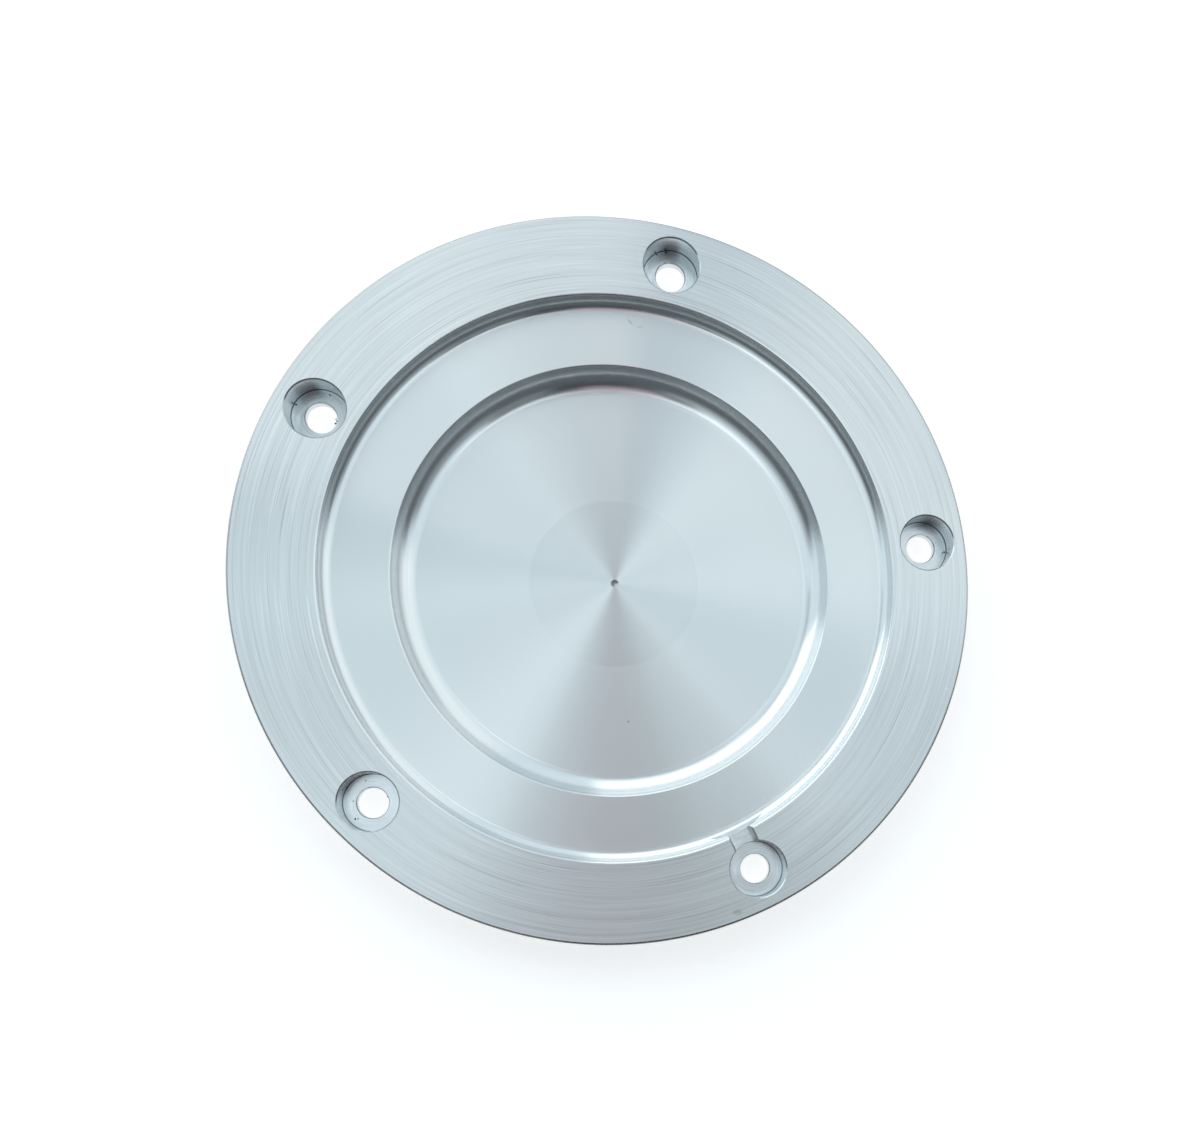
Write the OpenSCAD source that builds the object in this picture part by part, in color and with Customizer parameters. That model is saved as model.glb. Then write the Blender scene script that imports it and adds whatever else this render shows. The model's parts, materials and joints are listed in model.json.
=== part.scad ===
// Derby cover: a round access cover turned from one piece of aluminium.
// The dished show face looks up (+Z). The origin is at the centre of the pilot's underside.
// The slotted screw hole lies on the -Y axis, so the cover is the same on both sides of the YZ plane.

/* [Flange] */
// Outside diameter of the cover
cover_d = 152; // [150:1:170]
// Thickness of the flange, from its seating face to the rim face
flange_t = 6.4; // [6:0.1:9]
// Radius on the flange's upper outer edge
rim_edge_r = 0.5; // [0.2:0.1:0.8]
// Chamfer on the flange's lower outer edge
flange_chamfer = 0.4; // [0.2:0.1:0.8]

// Width of the rim face, from the outer edge to the recess wall
rim_w = 17; // [16:0.5:20]

/* [Recess] */
// Depth of the recess below the rim face
recess_depth = 2.8; // [2.6:0.1:3.4]
// Radius of the tool nose that left the foot of the recess wall
recess_foot_r = 2.2; // [0.8:0.1:2.2]
// Radius on the recess's upper edge
recess_lip_r = 0.5; // [0.2:0.1:0.6]
// Width of the shelf between the recess wall and the well
shelf_w = 13.7; // [8:0.1:20]

/* [Well] */
// Depth of the well below the recess floor
well_depth = 4; // [3.9:0.1:5]
// Radius of the tool nose that left the foot of the well's wall
well_foot_r = 4.5; // [1:0.1:5]
// Radius on the well's upper edge
well_lip_r = 0.4; // [0.2:0.1:0.4]
// Diameter of the centre-drill mark in the well's floor
centre_mark_d = 1.7; // [1:0.1:2.4]
// Depth of the centre-drill mark
centre_mark_depth = 0.8; // [0.4:0.1:1.2]

/* [Screw holes] */
// Number of screw holes, which lie midway across the rim face
screw_count = 5; // [3:1:8]
// Diameter of the through-holes, a clearance for 6 mm screws
screw_hole_d = 6.2; // [6:0.1:7]
// Diameter of the counterbores for the screw heads
head_d = 11.8; // [11:0.1:12.6]
// Depth of the counterbores below the rim face
head_depth = 4.7; // [3.5:0.1:5]
// Edge break at the mouth of each counterbore
head_chamfer = 0.25; // [0.1:0.05:0.4]
// Edge break at the top of each through-hole
hole_chamfer = 0.2; // [0.1:0.05:0.4]

/* [Drain slot] */
// Width of the slot between one counterbore and the recess
slot_w = 5; // [3:0.1:7]
// Depth of the slot below the rim face
slot_depth = 2.5; // [1.6:0.1:2.5]
// Radius along the slot's lower corners
slot_corner_r = 0.7; // [0.3:0.1:1]
// Edge break along the slot's upper edges
slot_chamfer = 0.3; // [0.1:0.05:0.5]
// Radius of the arc that the slot's cutter swept along the recess foot
slot_sweep_r = 16; // [12:1:40]
// Gap between that arc and the recess wall
slot_sweep_gap = 0.1; // [0.05:0.05:0.3]

/* [Pilot] */
// Width of the seating face round the pilot, which fits into the opening that the cover closes
seat_w = 18; // [15:0.5:24]
// Height of the pilot below the seating face
pilot_h = 3; // [2.5:0.1:6]
// Chamfer on the pilot's lower edge
pilot_chamfer = 0.6; // [0.3:0.1:1]

/* [Hidden] */
$fn = 180;
recess_d = cover_d - 2 * rim_w;
well_d = recess_d - 2 * shelf_w;
screw_pcd = cover_d - rim_w;
pilot_d = cover_d - 2 * seat_w;
rim_z = pilot_h + flange_t;
recess_z = rim_z - recess_depth;
well_z = recess_z - well_depth;
slot_z = rim_z - slot_depth;
slot_start_r = recess_d / 2 - 3 * recess_foot_r;
first_hole_angle = -90;
// Overshoot of every cut past the face that it opens
over = 1;

// Half section of the flange, with its upper outer edge rounded and its lower one chamfered
module flange_section() {
    difference() {
        polygon([
            [0, pilot_h],
            [cover_d / 2 - flange_chamfer, pilot_h],
            [cover_d / 2, pilot_h + flange_chamfer],
            [cover_d / 2, rim_z],
            [0, rim_z]
        ]);
        corner_waste(cover_d / 2, rim_z, rim_edge_r);
    }
}

// Half section of the pilot, which runs up into the flange
module pilot_section() {
    polygon([
        [0, 0],
        [pilot_d / 2 - pilot_chamfer, 0],
        [pilot_d / 2, pilot_chamfer],
        [pilot_d / 2, pilot_h + over],
        [0, pilot_h + over]
    ]);
}

// What rounding takes off an outer upper corner at x, y
module corner_waste(x, y, r) {
    difference() {
        translate([x - r, y - r]) square([r + over, r + over]);
        translate([x - r, y - r]) circle(r);
    }
}

// How far a foot of radius r reaches inwards as it climbs. One larger than the climb never gets upright
function foot_reach(r, climb) = r < climb ? r : sqrt(climb * (2 * r - climb));

// Half section of a round dish of radius wall_r between two levels: a foot radius below, a rolled lip above
module dish_section(wall_r, floor_z, top_z, foot_r, lip_r) {
    climb = top_z - lip_r - floor_z;
    reach = foot_reach(foot_r, climb);
    wall_z = floor_z + min(foot_r, climb);
    translate([0, floor_z]) square([wall_r - reach, top_z + over - floor_z]);
    translate([0, wall_z]) square([wall_r, top_z + over - wall_z]);
    translate([wall_r - reach, floor_z + foot_r]) intersection() {
        circle(foot_r);
        translate([-foot_r, -foot_r]) square([2 * foot_r, min(foot_r, climb)]);
    }
    difference() {
        translate([0, top_z - lip_r]) square([wall_r + lip_r, lip_r + over]);
        translate([wall_r + lip_r, top_z - lip_r]) circle(lip_r);
    }
}

// Turned blank: flange and pilot, with the recess and the well cut into the show face
module turned_blank() {
    rotate_extrude() difference() {
        union() {
            flange_section();
            pilot_section();
        }
        dish_section(recess_d / 2, recess_z, rim_z, recess_foot_r, recess_lip_r);
        dish_section(well_d / 2, well_z, recess_z, well_foot_r, well_lip_r);
    }
}

// A screw's through-hole and counterbore, with both mouths broken
module screw_hole() {
    head_z = rim_z - head_depth;
    translate([0, 0, pilot_h - over]) cylinder(d = screw_hole_d, h = flange_t);
    translate([0, 0, head_z - hole_chamfer])
        cylinder(d1 = screw_hole_d, d2 = screw_hole_d + 4 * hole_chamfer, h = 2 * hole_chamfer);
    translate([0, 0, head_z]) cylinder(d = head_d, h = head_depth + over);
    translate([0, 0, rim_z - head_chamfer])
        cylinder(d1 = head_d, d2 = head_d + 4 * head_chamfer, h = 2 * head_chamfer);
}

// Cross-section of the slot, its floor on the X axis
module slot_section() {
    translate([-slot_w / 2 + slot_corner_r, 0]) square([slot_w - 2 * slot_corner_r, slot_depth + over]);
    translate([-slot_w / 2, slot_corner_r]) square([slot_w, slot_depth + over - slot_corner_r]);
    for (side = [-1, 1])
        translate([side * (slot_w / 2 - slot_corner_r), slot_corner_r]) circle(slot_corner_r);
    polygon([
        [-slot_w / 2, slot_depth - slot_chamfer],
        [slot_w / 2, slot_depth - slot_chamfer],
        [slot_w / 2 + 2 * slot_chamfer, slot_depth + slot_chamfer],
        [-slot_w / 2 - 2 * slot_chamfer, slot_depth + slot_chamfer]
    ]);
}

// Slot from the first counterbore into the recess, with the arc that its cutter swept along the foot
module drain_slot() {
    translate([0, -slot_start_r, slot_z])
        rotate([90, 0, 0]) linear_extrude(screw_pcd / 2 - slot_start_r) slot_section();
    translate([0, slot_sweep_r - recess_d / 2 + slot_sweep_gap, slot_z])
        cylinder(r = slot_sweep_r, h = slot_depth + over);
}

// Pit that the centre drill left in the middle of the well's floor
module centre_mark() {
    translate([0, 0, well_z - centre_mark_depth])
        cylinder(d1 = 0, d2 = 2 * centre_mark_d, h = 2 * centre_mark_depth);
}

module derby_cover() {
    color([0.80, 0.84, 0.87]) difference() {
        turned_blank();
        for (i = [0 : screw_count - 1])
            rotate(first_hole_angle + i * 360 / screw_count)
                translate([screw_pcd / 2, 0, 0]) screw_hole();
        drain_slot();
        centre_mark();
    }
}

derby_cover();
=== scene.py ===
"""Dresses the derby cover: one turned aluminium disc that lies dished face up on a pale floor."""

import json
import logging
import math
from dataclasses import dataclass
from enum import Enum
from typing import ClassVar, Dict, Iterator, List, Optional, Sequence, Tuple

import bmesh
import bpy
from bmesh.types import BMesh, BMVert
from bpy.types import Material, Mesh, Node, NodeSocket, NodeTree, Object, bpy_prop_collection
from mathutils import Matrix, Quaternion, Vector


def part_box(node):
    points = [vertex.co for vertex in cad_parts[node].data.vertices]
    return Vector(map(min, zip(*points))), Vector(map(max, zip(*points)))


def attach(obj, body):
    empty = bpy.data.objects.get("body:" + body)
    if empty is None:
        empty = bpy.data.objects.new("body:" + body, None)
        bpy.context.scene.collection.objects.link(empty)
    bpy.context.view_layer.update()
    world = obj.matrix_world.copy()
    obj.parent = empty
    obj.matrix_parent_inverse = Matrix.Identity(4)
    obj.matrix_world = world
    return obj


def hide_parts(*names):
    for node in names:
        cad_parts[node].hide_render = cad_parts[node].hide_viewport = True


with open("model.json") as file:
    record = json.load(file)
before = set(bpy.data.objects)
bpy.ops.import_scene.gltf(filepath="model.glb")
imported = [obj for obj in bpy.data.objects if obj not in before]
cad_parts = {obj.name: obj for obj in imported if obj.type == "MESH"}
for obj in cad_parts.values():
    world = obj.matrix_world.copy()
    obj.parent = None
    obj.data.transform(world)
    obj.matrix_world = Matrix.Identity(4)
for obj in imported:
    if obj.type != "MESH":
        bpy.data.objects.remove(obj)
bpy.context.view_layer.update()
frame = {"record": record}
LOG = logging.getLogger("derby_cover")
MM = 0.001
NODE = "derby_cover"
CENTRE_ATTRIBUTE = "turn_centre"

Colour = Tuple[float, float, float]
Point2 = Tuple[float, float]
Point3 = Tuple[float, float, float]
Feeds = Dict[object, object]
Socket = NodeSocket
Sockets = bpy_prop_collection


class Zone(Enum):
    """The kinds of surface that the cutting tools left on the cover."""

    RIM = "rim_face"
    SHELF = "shelf_face"
    FLOOR = "well_floor"
    WALL = "dish_wall"
    BORE = "bored_hole"
    MILLED = "milled_slot"
    EDGE = "outer_edge"
    BACK = "plain_back"


class NodeSheet:
    """A node tree with short calls for the nodes that the finishes use."""

    # Places of the Mix node's factor, its two colours and their mix.
    MIX_INPUTS = ("Factor", 6, 7)
    MIX_OUTPUT = 2

    def __init__(self, tree: NodeTree) -> None:
        """Clears the tree that is to be filled."""
        self.tree = tree
        tree.nodes.clear()

    def add(self, kind: str, feeds: Optional[Feeds] = None, **settings: object) -> Node:
        """Adds a node.

        Args:
            kind: The node's Blender type.
            feeds: What goes into its inputs, by their names or places.
            settings: Properties to set on it.

        Returns:
            The new node.
        """
        node = self.tree.nodes.new(kind)
        for name, value in settings.items():
            setattr(node, name, value)
        self.fill(node, feeds or {})
        return node

    def fill(self, node: Node, feeds: Feeds) -> None:
        """Feeds several inputs of a node."""
        for key, value in feeds.items():
            self.feed(node.inputs[key], value)

    def feed(self, socket: Socket, value: object) -> None:
        """Links a socket to an output, or sets it to a constant.

        Args:
            socket: The input socket.
            value: An output socket or a constant.
        """
        if isinstance(value, Socket):
            self.tree.links.new(value, socket)
        else:
            socket.default_value = value

    def math(self, operation: str, *values: object) -> Socket:
        """Adds a Math node for sockets or numbers and returns its result."""
        return self.add("ShaderNodeMath", dict(enumerate(values)), operation=operation).outputs[0]

    def plus(self, value: object, mask: Socket, share: float) -> Socket:
        """Adds a share of a mask to a value."""
        return self.math("ADD", value, self.math("MULTIPLY", mask, share))

    def vector(self, operation: str, *values: object) -> Socket:
        """Adds a Vector Math node for sockets or tuples and returns its result."""
        node = self.add("ShaderNodeVectorMath", dict(enumerate(values)), operation=operation)
        return node.outputs["Value" if operation in ("LENGTH", "DOT_PRODUCT") else "Vector"]

    def split(self, vector: Socket) -> Tuple[Socket, Socket, Socket]:
        """Adds a Separate XYZ node and returns its three outputs."""
        return tuple(self.add("ShaderNodeSeparateXYZ", {0: vector}).outputs)

    def join(self, x: object, y: object, z: object) -> Socket:
        """Adds a Combine XYZ node for three values."""
        return self.add("ShaderNodeCombineXYZ", {0: x, 1: y, 2: z}).outputs[0]

    def off_axis(self, place: Socket) -> Tuple[Socket, Socket, Socket]:
        """Splits a place into its flat part, that part's length and its level.

        Args:
            place: The position from an axis along Z.

        Returns:
            The sockets of the flat part, the radius and the level.
        """
        x, y, level = self.split(place)
        flat = self.join(x, y, 0.0)
        return flat, self.vector("LENGTH", flat), level

    def smooth(self, value: Socket, low: float, high: float) -> Socket:
        """Adds a smooth step that rises from 0 to 1."""
        feeds = {"Value": value, "From Min": low, "From Max": high}
        return self.add("ShaderNodeMapRange", feeds, interpolation_type="SMOOTHSTEP").outputs["Result"]

    def fade(self, value: Socket, low: float, high: float) -> Socket:
        """Adds a smooth step that falls from 1 to 0."""
        return self.math("SUBTRACT", 1.0, self.smooth(value, low, high))

    def mix(self, factor: object, first: object, second: object) -> Socket:
        """Mixes two colours.

        Args:
            factor: The share of the second colour.
            first: A colour or a colour socket.
            second: A colour or a colour socket.

        Returns:
            The mixed colour's socket.
        """
        node = self.add("ShaderNodeMix", data_type="RGBA", clamp_factor=True)
        for key, value in zip(self.MIX_INPUTS, (factor, first, second)):
            self.feed(node.inputs[key], (*value, 1.0) if isinstance(value, tuple) else value)
        return node.outputs[self.MIX_OUTPUT]

    def noise(self, vector: Socket, detail: float, roughness: float, scale: float = 1.0) -> Socket:
        """Adds a 3-D noise with a number of octaves and the strength of the finer ones."""
        feeds = {"Vector": vector, "Scale": scale, "Detail": detail, "Roughness": roughness}
        return self.add("ShaderNodeTexNoise", feeds, noise_dimensions="3D").outputs["Fac"]

    def group(self, tree: NodeTree, place: Socket, feeds: Optional[Feeds] = None) -> Sockets:
        """Adds a shared effect.

        Args:
            tree: The effect.
            place: Where it is read.
            feeds: Its other inputs.

        Returns:
            Its outputs.
        """
        feeds = {"Position": place, **(feeds or {})}
        return self.add("ShaderNodeGroup", feeds, node_tree=tree).outputs


def new_material(name: str) -> Tuple[Material, NodeSheet, Node]:
    """Makes a material with one Principled shader.

    Args:
        name: The material's name.

    Returns:
        The material, its nodes and the shader.
    """
    material = bpy.data.materials.new(name)
    material.use_nodes = True
    sheet = NodeSheet(material.node_tree)
    shader = sheet.add("ShaderNodeBsdfPrincipled")
    sheet.add("ShaderNodeOutputMaterial", {"Surface": shader.outputs[0]})
    return material, sheet, shader


class ShapeTree:
    """A node tree that makes an object's final mesh."""

    def __init__(self, name: str, values: Dict[str, Tuple[str, object]]) -> None:
        """Makes the tree and its inputs.

        Args:
            name: The tree's name.
            values: Blender type and value of each input, with the material as Finish.
        """
        self.values = values
        tree = bpy.data.node_groups.new(name, "GeometryNodeTree")
        for way in ("INPUT", "OUTPUT"):
            tree.interface.new_socket("Geometry", in_out=way, socket_type="NodeSocketGeometry")
        self.keys = {label: tree.interface.new_socket(label, in_out="INPUT", socket_type=kind).identifier
                     for label, (kind, _) in values.items()}
        self.sheet = NodeSheet(tree)
        self.given = self.sheet.add("NodeGroupInput").outputs

    def apply(self, shape: Socket, target: Object) -> None:
        """Gives the made shape its finish and puts it in place of an object's mesh.

        Args:
            shape: What the tree's nodes made.
            target: The object, whose mesh the tree reads first.
        """
        sheet = self.sheet
        whole = sheet.add("GeometryNodeRealizeInstances", {0: shape})
        finish = sheet.add("GeometryNodeSetMaterial", {
            "Geometry": whole.outputs[0], "Material": self.given["Finish"]})
        sheet.add("NodeGroupOutput", {0: finish.outputs[0]})
        modifier = target.modifiers.new(sheet.tree.name, "NODES")
        modifier.node_group = sheet.tree
        for label, (_, value) in self.values.items():
            modifier[self.keys[label]] = value
        graph = bpy.context.evaluated_depsgraph_get()
        made = bpy.data.meshes.new_from_object(target.evaluated_get(graph), depsgraph=graph)
        target.modifiers.clear()
        target.data = made


class ShaderGroups:
    """The effects that several finishes share, each built once."""

    SPARSE_ROWS = 0.8
    SPARSE_SCALE = 1.7
    SCRATCH_STEP = (0.60, 0.72)
    GRIT_SCALE = 40.0
    STROKE_CORE = 0.4

    def __init__(self) -> None:
        """Builds the groups."""
        self.lines = self._turning_lines()
        self.cloud = self._handling_cloud()
        self.mark = self._tool_mark()

    @staticmethod
    def _start(name: str, values: Dict[str, float],
               outputs: Sequence[str]) -> Tuple[NodeSheet, Sockets, Node]:
        """Makes an empty group with its sockets.

        Args:
            name: The group's name.
            values: Default of each number that it takes, beside the position.
            outputs: Names of the numbers that it puts out.

        Returns:
            The sheet, what the group is given and its output node.
        """
        tree = bpy.data.node_groups.new(name, "ShaderNodeTree")
        tree.interface.new_socket("Position", in_out="INPUT", socket_type="NodeSocketVector")
        for label, value in values.items():
            socket = tree.interface.new_socket(label, in_out="INPUT", socket_type="NodeSocketFloat")
            socket.default_value = value
        for label in outputs:
            tree.interface.new_socket(label, in_out="OUTPUT", socket_type="NodeSocketFloat")
        sheet = NodeSheet(tree)
        return sheet, sheet.add("NodeGroupInput").outputs, sheet.add("NodeGroupOutput")

    def _turning_lines(self) -> NodeTree:
        """Builds the fine rings that a lathe tool leaves, broken into arcs along the turn.

        Returns:
            The group, which puts out a fine height, a broad streak and sparse light and dark scratches.
        """
        sheet, given, result = self._start(
            "turning_lines", {"Pitch": 0.3 * MM, "Arc": 3.0, "Broad": 5.0}, ("Fine", "Streak", "Scratch"))
        flat, radius, level = sheet.off_axis(given["Position"])
        x, y, _ = sheet.split(sheet.vector("NORMALIZE", flat))
        ring = sheet.math("DIVIDE", radius, given["Pitch"])
        row = sheet.math("ADD", ring, sheet.math("DIVIDE", level, given["Pitch"]))
        along_x = sheet.math("MULTIPLY", x, given["Arc"])
        along_y = sheet.math("MULTIPLY", y, given["Arc"])
        fine = sheet.noise(sheet.join(row, along_x, along_y), detail=2.0, roughness=0.6)
        wide_row = sheet.math("DIVIDE", row, given["Broad"])
        streak = sheet.noise(sheet.join(wide_row, along_x, along_y), detail=3.0, roughness=0.65)
        sparse_row = sheet.math("MULTIPLY", row, self.SPARSE_ROWS)
        sparse = sheet.noise(sheet.join(sparse_row, along_x, along_y), detail=1.0, roughness=0.5,
                             scale=self.SPARSE_SCALE)
        light = sheet.smooth(sparse, *self.SCRATCH_STEP)
        dark = sheet.smooth(sheet.math("SUBTRACT", 1.0, sparse), *self.SCRATCH_STEP)
        scratch = sheet.math("SUBTRACT", light, dark)
        sheet.fill(result, {"Fine": fine, "Streak": streak, "Scratch": scratch})
        return sheet.tree

    def _handling_cloud(self) -> NodeTree:
        """Builds the soft patches that handling leaves on bare metal.

        Returns:
            The group, which puts out the patches and fine grit.
        """
        sheet, given, result = self._start("handling_cloud", {"Patch": 20 * MM}, ("Patches", "Grit"))
        patch = given["Patch"]
        scaled = sheet.vector("DIVIDE", given["Position"], sheet.join(patch, patch, patch))
        sheet.fill(result, {"Patches": sheet.noise(scaled, detail=3.0, roughness=0.55),
                            "Grit": sheet.noise(scaled, detail=2.0, roughness=0.6, scale=self.GRIT_SCALE)})
        return sheet.tree

    def _tool_mark(self) -> NodeTree:
        """Builds one short scratch or smudge: a soft-ended stroke.

        Returns:
            The group, which puts out the stroke's mask.
        """
        values = {"Centre X": 0.0, "Centre Y": 0.0, "Turn": 0.0, "Half Length": MM, "Half Width": 0.1 * MM}
        sheet, given, result = self._start("tool_mark", values, ("Mask",))
        x, y, _ = sheet.split(given["Position"])
        dx = sheet.math("SUBTRACT", x, given["Centre X"])
        dy = sheet.math("SUBTRACT", y, given["Centre Y"])
        cosine = sheet.math("COSINE", given["Turn"])
        sine = sheet.math("SINE", given["Turn"])
        along = sheet.math("ADD", sheet.math("MULTIPLY", dx, cosine), sheet.math("MULTIPLY", dy, sine))
        across = sheet.math("SUBTRACT", sheet.math("MULTIPLY", dy, cosine), sheet.math("MULTIPLY", dx, sine))
        length = sheet.math("DIVIDE", along, given["Half Length"])
        width = sheet.math("DIVIDE", across, given["Half Width"])
        reach = sheet.vector("LENGTH", sheet.join(length, width, 0.0))
        sheet.fill(result, {"Mask": sheet.fade(reach, self.STROKE_CORE, 1.0)})
        return sheet.tree


@dataclass(frozen=True)
class Mark:
    """A scratch or smudge on a face, in the cover's frame.

    Attributes:
        x: Its middle along X, in metres.
        y: Its middle along Y, in metres.
        turn_deg: The way that it runs, from +X.
        half_length: Half its length, in metres.
        half_width: Half its width, in metres.
        lift: What it adds to the base colour's brightness.
        roughen: What it adds to the roughness.
    """

    x: float
    y: float
    turn_deg: float
    half_length: float
    half_width: float
    lift: float
    roughen: float


@dataclass(frozen=True)
class MetalFinish:
    """Bare aluminium as one tool left it.

    Attributes:
        zone: The surface that it dresses.
        colour: The metal's colour.
        roughness: Its mean roughness.
        anisotropy: How far the cutting marks stretch a highlight across themselves.
        pitch: The spacing of the cutting marks, in metres.
        arc: How often the marks break along a turn.
        broad: How many marks make one streak.
        streak_tone: How far the streaks change the brightness.
        streak_rough: How far the streaks change the roughness.
        patch_tone: How far the handling patches change the brightness.
        scratch_tone: How far the sparse scratches change the brightness.
        depth: The height of the marks, in metres.
        disc_radius: Radius of an inner disc that was faced in another pass, or 0.
        disc_rough: What that disc adds to the roughness.
        disc_tone: What that disc adds to the brightness.
        corner: Radius and level of an inside corner that gets a painted shade line, or nothing.
        corner_shade_tone: What the painted shade in that corner adds to the brightness.
        marks: Scratches and smudges on it.
    """

    zone: Zone
    colour: Colour
    roughness: float
    anisotropy: float
    pitch: float
    arc: float
    broad: float
    streak_tone: float
    streak_rough: float
    patch_tone: float
    scratch_tone: float = 0.0
    depth: float = 0.0
    disc_radius: float = 0.0
    disc_rough: float = 0.0
    disc_tone: float = 0.0
    corner: Optional[Point2] = None
    corner_shade_tone: float = 0.0
    marks: Tuple[Mark, ...] = ()

    CORNER_CORE: ClassVar[float] = 0.04 * MM
    CORNER_REACH: ClassVar[float] = 0.22 * MM
    MEAN_NOISE: ClassVar[float] = 0.5

    def build(self, groups: ShaderGroups) -> Material:
        """Builds the material.

        Args:
            groups: The shared effects.

        Returns:
            The material.
        """
        material, sheet, shader = new_material(self.zone.value)
        place = self._place(sheet)
        lines = sheet.group(groups.lines, place, {"Pitch": self.pitch, "Arc": self.arc, "Broad": self.broad})
        cloud = sheet.group(groups.cloud, place)
        streak = sheet.math("SUBTRACT", lines["Streak"], self.MEAN_NOISE)
        patches = sheet.math("SUBTRACT", cloud["Patches"], self.MEAN_NOISE)
        tone = sheet.math("MULTIPLY", streak, self.streak_tone)
        tone = sheet.plus(tone, lines["Scratch"], self.scratch_tone)
        tone = sheet.plus(tone, patches, self.patch_tone)
        rough = sheet.plus(self.roughness, streak, self.streak_rough)
        for mask, lift, roughen in self._masks(sheet, groups, place):
            tone = sheet.plus(tone, mask, lift)
            rough = sheet.plus(rough, mask, roughen)
        bright = sheet.math("ADD", tone, 1.0)
        sheet.fill(shader, {
            "Metallic": 1.0, "Anisotropic": self.anisotropy, "Roughness": rough,
            "Tangent": self._across_marks(sheet, place),
            "Base Color": sheet.vector("MULTIPLY", self.colour, sheet.join(bright, bright, bright))})
        if self.depth > 0.0:
            bump = sheet.add("ShaderNodeBump", {
                "Strength": 1.0, "Distance": self.depth, "Height": lines["Fine"]})
            sheet.fill(shader, {"Normal": bump.outputs[0]})
        return material

    @staticmethod
    def _place(sheet: NodeSheet) -> Socket:
        """Adds the position measured from the axis that the surface was turned on.

        Args:
            sheet: The material's nodes.

        Returns:
            The position's socket.
        """
        here = sheet.add("ShaderNodeTexCoord").outputs["Object"]
        centre = sheet.add("ShaderNodeAttribute", attribute_name=CENTRE_ATTRIBUTE)
        return sheet.vector("SUBTRACT", here, centre.outputs["Vector"])

    @staticmethod
    def _across_marks(sheet: NodeSheet, place: Socket) -> Socket:
        """Adds the direction across the cutting marks, in the surface.

        Args:
            sheet: The material's nodes.
            place: The position from the turning axis.

        Returns:
            The direction's socket.
        """
        around = sheet.vector("CROSS_PRODUCT", (0.0, 0.0, 1.0), place)
        normal = sheet.add("ShaderNodeNewGeometry").outputs["Normal"]
        return sheet.vector("NORMALIZE", sheet.vector("CROSS_PRODUCT", around, normal))

    def _masks(self, sheet: NodeSheet, groups: ShaderGroups,
               place: Socket) -> Iterator[Tuple[Socket, float, float]]:
        """Adds the masks of the inner disc, the painted shade line in the inside corner and the marks.

        Args:
            sheet: The material's nodes.
            groups: The shared effects.
            place: The position from the turning axis.

        Yields:
            A mask, what it adds to the brightness and what it adds to the roughness.
        """
        if self.disc_radius > 0.0:
            _, radius, _ = sheet.off_axis(place)
            yield sheet.math("LESS_THAN", radius, self.disc_radius), self.disc_tone, self.disc_rough
        # Painted shade: a dark line where the counterbore's wall meets its floor.
        if self.corner:
            _, radius, level = sheet.off_axis(place)
            out = sheet.math("SUBTRACT", radius, self.corner[0])
            rise = sheet.math("SUBTRACT", level, self.corner[1])
            off = sheet.vector("LENGTH", sheet.join(out, rise, 0.0))
            yield sheet.fade(off, self.CORNER_CORE, self.CORNER_REACH), self.corner_shade_tone, 0.0
        for mark in self.marks:
            here = sheet.add("ShaderNodeTexCoord").outputs["Object"]
            stroke = sheet.group(groups.mark, here, {
                "Centre X": mark.x, "Centre Y": mark.y, "Turn": math.radians(mark.turn_deg),
                "Half Length": mark.half_length, "Half Width": mark.half_width})
            yield stroke["Mask"], mark.lift, mark.roughen


RIM_MARKS: Tuple[Mark, ...] = (
    Mark(53.9 * MM, -51.2 * MM, -52, 1.0 * MM, 0.28 * MM, 0.14, 0.10),
    Mark(-7.9 * MM, -73.5 * MM, -23, 1.4 * MM, 0.75 * MM, -0.20, 0.06),
)
SHELF_MARKS: Tuple[Mark, ...] = (
    Mark(26.9 * MM, 48.1 * MM, -71, 1.1 * MM, 0.20 * MM, -0.22, 0.0),
    Mark(28.3 * MM, 46.4 * MM, -22, 1.1 * MM, 0.18 * MM, -0.16, 0.0),
)
FLOOR_MARKS: Tuple[Mark, ...] = (Mark(-10.3 * MM, -27.8 * MM, -66, 0.32 * MM, 0.28 * MM, -0.45, 0.0),)

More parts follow.
